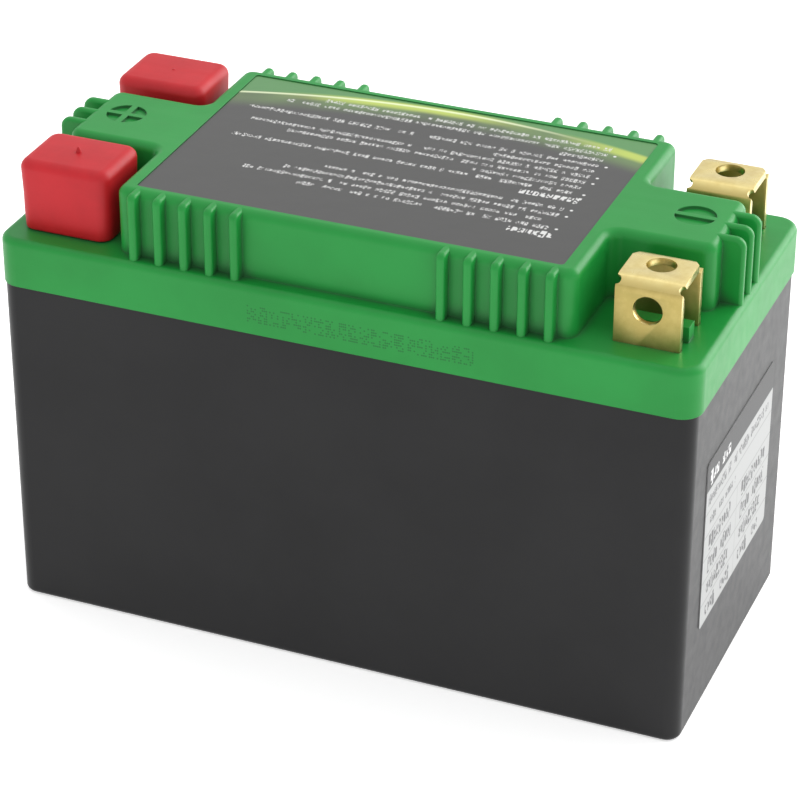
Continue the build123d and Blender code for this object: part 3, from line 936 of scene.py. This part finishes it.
# finishes of the sealed pieces and how their names start; a later one counts over an earlier one
INNER: tuple[tuple[MouldedPlastic | RolledMetal, tuple[str, ...]], ...] = (
    (POUCH, ("cell_",)),
    (CARD, ("cell_separator", "link_tray", "return_bar")),
    (NICKEL, ("positive_tabs", "negative_tabs", "sense_pins")),
    (TAPE, ("pack_band",)),
    (COPPER, ("series", "positive_link", "negative_return", "positive_coll", "negative_coll")),
    (LAMINATE, ("balance_board",)),
    (STEEL, ("board_screws",)),
    (RESIN, ("bleed_resistors", "balance_chips")),
    (FOAM, ("base_pad", "front_pad", "rear_pad", "left_pad", "right_pad")),
)

# ---- modelling helpers


def deselect() -> None:
    """Leave edit mode and deselect everything."""
    if bpy.context.object is not None and bpy.context.object.mode != "OBJECT":
        bpy.ops.object.mode_set(mode="OBJECT")
    bpy.ops.object.select_all(action="DESELECT")


def take(piece: bpy.types.Object) -> None:
    """Make one piece the only one selected, and active.

    Args:
        piece: the piece.
    """
    deselect()
    piece.select_set(True)
    bpy.context.view_layer.objects.active = piece


def round_over(piece: bpy.types.Object, width: float, segments: int, angle: float) -> None:
    """Give a piece a Bevel modifier on its sharp edges.

    Args:
        piece: the piece.
        width: width of the rounding, metres.
        segments: faces across it.
        angle: only edges sharper than this are rounded, degrees.
    """
    rounding = piece.modifiers.new("rounding", "BEVEL")
    rounding.width = width
    rounding.segments = segments
    rounding.limit_method = "ANGLE"
    rounding.angle_limit = math.radians(angle)


def apply_modifiers(piece: bpy.types.Object) -> None:
    """Apply a piece's modifiers in order.

    Args:
        piece: the piece.
    """
    take(piece)
    for modifier in list(piece.modifiers):
        bpy.ops.object.modifier_apply(modifier=modifier.name)


def settle(piece: bpy.types.Object, name: str, angle: float = 32.0) -> bpy.types.Object:
    """Name a finished piece, put its place into its mesh and shade it.

    Args:
        piece: the piece.
        name: its name.
        angle: edges sharper than this stay sharp, degrees.

    Returns:
        The same piece.
    """
    take(piece)
    bpy.ops.object.transform_apply(location=True, rotation=True, scale=True)
    bpy.ops.object.shade_smooth_by_angle(angle=math.radians(angle))
    piece.name = name
    piece.data.name = name
    return piece


def dress(piece: bpy.types.Object, material: bpy.types.Material) -> None:
    """Give a piece one finish all over."""
    piece.data.materials.clear()
    piece.data.materials.append(material)


def pick(piece: bpy.types.Object, kind: str, chosen: list[int]) -> None:
    """Enter edit mode on a piece with only some of its edges or faces selected.

    Args:
        piece: the piece.
        kind: EDGE or FACE.
        chosen: their numbers.
    """
    take(piece)
    bpy.ops.object.mode_set(mode="EDIT")
    bpy.ops.mesh.select_mode(type=kind)
    bpy.ops.mesh.select_all(action="DESELECT")
    bpy.ops.object.mode_set(mode="OBJECT")
    parts = piece.data.edges if kind == "EDGE" else piece.data.polygons
    for index in chosen:
        parts[index].select = True
    bpy.ops.object.mode_set(mode="EDIT")


def bevel(piece: bpy.types.Object, edges: list[int], width: float, segments: int) -> None:
    """Round some of a piece's edges.

    Args:
        piece: the piece.
        edges: their numbers.
        width: width of the rounding, metres.
        segments: faces across it.
    """
    pick(piece, "EDGE", edges)
    bpy.ops.mesh.bevel(offset=width, segments=segments, affect="EDGES")
    bpy.ops.object.mode_set(mode="OBJECT")


# ---- sub-assemblies


@dataclass
class Boot:
    """A soft boot dipped in vinyl, pulled over one positive terminal."""

    side: Side
    corner: float = 2.7 * MM  # radius of the upright edges
    crown: float = 2.1 * MM  # radius round the top
    wall: float = 1.1 * MM
    lip: float = 0.3 * MM  # rounding of the foot's edges
    draft: float = 0.35 * MM  # how much each side draws in towards the foot
    bands: tuple[tuple[float, float], ...] = ((0.22, 0.55), (0.5, 0.2))  # level, share of draft
    drip_radius: float = 0.42 * MM
    drip_height: float = 1.5 * MM
    drip_foot: float = 1.7  # how much wider the drip's foot is than the drip
    drip_tip: float = 0.55  # how much narrower its tip is
    drip_sunk: float = 0.3 * MM  # how deep it stands in the top
    rear_drip: float = 0.35  # height of the rear boot's drip beside the front one's
    nub: float = 0.4 * MM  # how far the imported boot's own drip stands above its top
    node: str = field(init=False)
    low: Vector = field(init=False)
    high: Vector = field(init=False)
    top: float = field(init=False)

    def __post_init__(self) -> None:
        """Take the boot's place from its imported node."""
        self.node = f"positive_boot_{self.side.word}"
        self.low, self.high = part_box(self.node)
        self.top = self.high.z - self.nub

    def shell(self) -> bpy.types.Object:
        """Model the boot's skin from a block, open below.

        Returns:
            The skin, with its wall.
        """
        size = Vector((self.high.x, self.high.y, self.top)) - self.low
        deselect()
        bpy.ops.mesh.primitive_cube_add(size=1.0, location=self.low + size / 2)
        skin = bpy.context.object
        skin.scale = size
        bpy.ops.object.transform_apply(location=False, rotation=False, scale=True)
        upright = [index for index, (low, high) in self.levels(skin).items() if high - low > MM]
        bevel(skin, upright, self.corner, 7)
        levels = self.levels(skin)
        top = max(high for _, high in levels.values()) - 0.01 * MM
        bevel(skin, [index for index, (low, _) in levels.items() if low > top], self.crown, 8)
        pick(skin, "FACE", [face.index for face in skin.data.polygons if face.normal.z < -0.9])
        bpy.ops.mesh.delete(type="FACE")
        self.draw_in(skin, size)
        thick = skin.modifiers.new("wall", "SOLIDIFY")
        thick.thickness = self.wall
        thick.offset = -1.0
        round_over(skin, self.lip, 3, 50.0)
        apply_modifiers(skin)
        return skin

    def levels(self, skin: bpy.types.Object) -> dict[int, tuple[float, float]]:
        """The height of each edge's lower and upper end.

        Args:
            skin: the boot's skin.

        Returns:
            The two heights by the edge's number.
        """
        heights = [point.co.z for point in skin.data.vertices]
        ends = {edge.index: [heights[i] for i in edge.vertices] for edge in skin.data.edges}
        return {index: (min(pair), max(pair)) for index, pair in ends.items()}

    def draw_in(self, skin: bpy.types.Object, size: Vector) -> None:
        """Draw the skin in towards its foot, with a fuller band above it.

        Args:
            skin: the boot's skin.
            size: the boot's size.
        """
        take(skin)
        bpy.ops.object.mode_set(mode="EDIT")
        for level, share in self.bands:
            bpy.ops.mesh.select_all(action="SELECT")
            cut = skin.location + Vector((0, 0, (level - 0.5) * size.z))
            bpy.ops.mesh.bisect(plane_co=cut, plane_no=(0, 0, 1))
            self.narrow(size, share)
        bpy.ops.mesh.select_mode(type="VERT")
        bpy.ops.mesh.select_all(action="DESELECT")
        bpy.ops.mesh.select_non_manifold(extend=False)
        self.narrow(size, 1.0)
        bpy.ops.object.mode_set(mode="OBJECT")

    def narrow(self, size: Vector, share: float) -> None:
        """Draw the selected loop in.

        Args:
            size: the boot's size.
            share: how much of the draft it takes on.
        """
        step = 2 * self.draft * share
        bpy.ops.transform.resize(value=(1 - step / size.x, 1 - step / size.y, 1))

    def witness(self) -> bpy.types.Object:
        """Model the thin drip left standing in the middle of the top by dipping.

        Returns:
            The drip.
        """
        middle = (self.low + self.high) / 2
        height = self.drip_height * (1.0 if self.side is Side.FRONT else self.rear_drip)
        deselect()
        bpy.ops.mesh.primitive_cone_add(
            vertices=20,
            radius1=self.drip_radius * self.drip_foot,
            radius2=self.drip_radius * self.drip_tip,
            depth=height,
            location=(middle.x, middle.y, self.top - self.drip_sunk + height / 2),
        )
        drip = bpy.context.object
        round_over(drip, 0.18 * MM, 3, 40.0)
        apply_modifiers(drip)
        return drip

    def build(self, vinyl: bpy.types.Material) -> bpy.types.Object:
        """Build, dress and place the boot.

        Args:
            vinyl: the boot's finish.

        Returns:
            The boot.
        """
        skin = self.shell()
        drip = self.witness()
        deselect()
        drip.select_set(True)
        skin.select_set(True)
        bpy.context.view_layer.objects.active = skin
        bpy.ops.object.join()
        boot = settle(skin, f"dipped_boot_{self.side.word}", 60.0)
        dress(boot, vinyl)
        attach(boot, self.node)
        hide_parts(self.node)
        LOG.info("boot %s: %d faces", self.side.word, len(boot.data.polygons))
        return boot


@dataclass
class TerminalStrap:
    """A terminal folded from brass strap, with its stamped edges broken."""

    pole: Pole
    side: Side
    broken_edge: float = 0.16 * MM
    merge: float = 0.002 * MM  # points closer than this are one

    def build(self, brass: bpy.types.Material) -> bpy.types.Object:
        """Build, dress and place the strap.

        Args:
            brass: the strap's finish.

        Returns:
            The strap.
        """
        node = f"{self.pole.word}_terminal_{self.side.word}"
        source = bpy.data.objects[node]
        strap = bpy.data.objects.new(f"strap_{node}", source.data.copy())
        bpy.context.scene.collection.objects.link(strap)
        take(strap)
        bpy.ops.object.mode_set(mode="EDIT")
        bpy.ops.mesh.select_all(action="SELECT")
        bpy.ops.mesh.remove_doubles(threshold=self.merge)
        bpy.ops.mesh.dissolve_limited(angle_limit=math.radians(0.5))
        bpy.ops.object.mode_set(mode="OBJECT")
        round_over(strap, self.broken_edge, 2, 40.0)
        apply_modifiers(strap)
        settle(strap, f"strap_{node}", 40.0)
        dress(strap, brass)
        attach(strap, HOUSING)
        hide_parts(node)
        LOG.info("strap %s: %d faces", node, len(strap.data.polygons))
        return strap


@dataclass
class Shell:
    """The case and the lid, with the labels on them."""

    def dress(self, nodes: dict[str, bpy.types.Object]) -> None:
        """Give the outer pieces their finishes.

        Args:
            nodes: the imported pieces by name.
        """
        skirt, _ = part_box("lid")
        end_low, end_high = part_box("side_label")
        end_print = EndPrint(end_low.y / MM, end_high.y / MM, end_low.z / MM, end_high.z / MM)
        dress(nodes["case"], BLACK.material())
        dress(nodes["lid"], LidPlastic(GREEN, CODE_INK).material(skirt.y / MM))
        dress(nodes["top_label"], TopPrint().material())
        dress(nodes["side_label"], end_print.material())
        LOG.info("case, lid and labels dressed")


@dataclass
class CellPack:
    """Everything sealed inside: cells, links, board and padding."""

    def dress(self, nodes: dict[str, bpy.types.Object]) -> None:
        """Give the inner pieces their finishes by how their names start.

        Args:
            nodes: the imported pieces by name.
        """
        for finish, starts in INNER:
            material = finish.material()
            for name, node in nodes.items():
                if name.startswith(starts):
                    dress(node, material)
        LOG.info("inner pieces dressed in %d finishes", len(INNER))


@dataclass(frozen=True)
class SoftLight:
    """A square soft light that faces the battery."""

    name: str
    place: tuple[float, float, float]  # metres
    size: float  # edge, metres
    power: float  # watts

    def hang(self, aim: Vector) -> None:
        """Hang the light.

        Args:
            aim: the point it faces, metres.
        """
        data = bpy.data.lights.new(self.name, "AREA")
        data.size = self.size
        data.energy = self.power
        lamp = bpy.data.objects.new(self.name, data)
        lamp.location = self.place
        lamp.rotation_euler = (aim - Vector(self.place)).to_track_quat("-Z", "Y").to_euler()
        bpy.context.scene.collection.objects.link(lamp)


@dataclass
class Studio:
    """Floor, soft lights and the camera."""

    azimuth: float = 22.10
    elevation: float = 29.99
    roll: float = 0.13
    lens: float = 141.46
    distance: float = 0.68677
    rise: float = 0.03938  # how far the camera is moved up across its view, metres
    sensor: float = 36.0
    near: float = 0.05  # nothing closer than this is drawn, metres
    floor_size: float = 6.0
    world: Colour = (1.0, 1.0, 1.0, 1.0)
    world_strength: float = 1.0
    aim: tuple[float, float, float] = (0.0, 0.0, 0.05)
    lights: tuple[SoftLight, ...] = (
        SoftLight("overhead", (-0.2, 0.1, 1.3), 1.2, 1.5),
        SoftLight("back_right", (0.7, 0.9, 0.5), 1.1, 14.0),
    )

    def camera(self) -> None:
        """Set up the camera round the battery's base point."""
        turn, lift, roll = (math.radians(v) for v in (self.azimuth, self.elevation, self.roll))
        level = math.cos(lift)
        back = Vector((math.sin(turn) * level, -math.cos(turn) * level, math.sin(lift)))
        right = Vector((math.cos(turn), math.sin(turn), 0.0))
        up = back.cross(right)
        right, up = (
            right * math.cos(roll) + up * math.sin(roll),
            up * math.cos(roll) - right * math.sin(roll),
        )
        data = bpy.data.cameras.new("studio_camera")
        data.lens = self.lens
        data.sensor_width = self.sensor
        data.clip_start = self.near
        camera = bpy.data.objects.new("studio_camera", data)
        turned = Matrix((right, up, back)).transposed()
        place = back * self.distance + up * self.rise
        camera.matrix_world = Matrix.Translation(place) @ turned.to_4x4()
        bpy.context.scene.collection.objects.link(camera)
        bpy.context.scene.camera = camera

    def floor(self) -> None:
        """Lay the floor."""
        deselect()
        bpy.ops.mesh.primitive_grid_add(
            x_subdivisions=8, y_subdivisions=8, size=self.floor_size, location=(0, 0, 0)
        )
        floor = settle(bpy.context.object, "studio_floor")
        dress(floor, StudioFloor().material())

    def build(self) -> None:
        """Set up the whole studio."""
        world = bpy.data.worlds.new("studio")
        world.use_nodes = True
        sky = world.node_tree.nodes["Background"]
        sky.inputs["Color"].default_value = self.world
        sky.inputs["Strength"].default_value = self.world_strength
        bpy.context.scene.world = world
        bpy.context.scene.view_settings.view_transform = "Standard"
        self.floor()
        for light in self.lights:
            light.hang(Vector(self.aim))
        self.camera()
        LOG.info("studio ready")


def main() -> None:
    """Build the battery's looks round its frame."""
    logging.basicConfig(level=logging.INFO, format="%(name)s: %(message)s")
    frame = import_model()
    nodes = frame["nodes"]
    Shell().dress(nodes)
    CellPack().dress(nodes)
    vinyl = RED.material()
    brass = BRASS.material()
    for side in Side:
        Boot(side).build(vinyl)
        for pole in Pole:
            TerminalStrap(pole, side).build(brass)
    Studio().build()


if __name__ == "__main__":
    main()
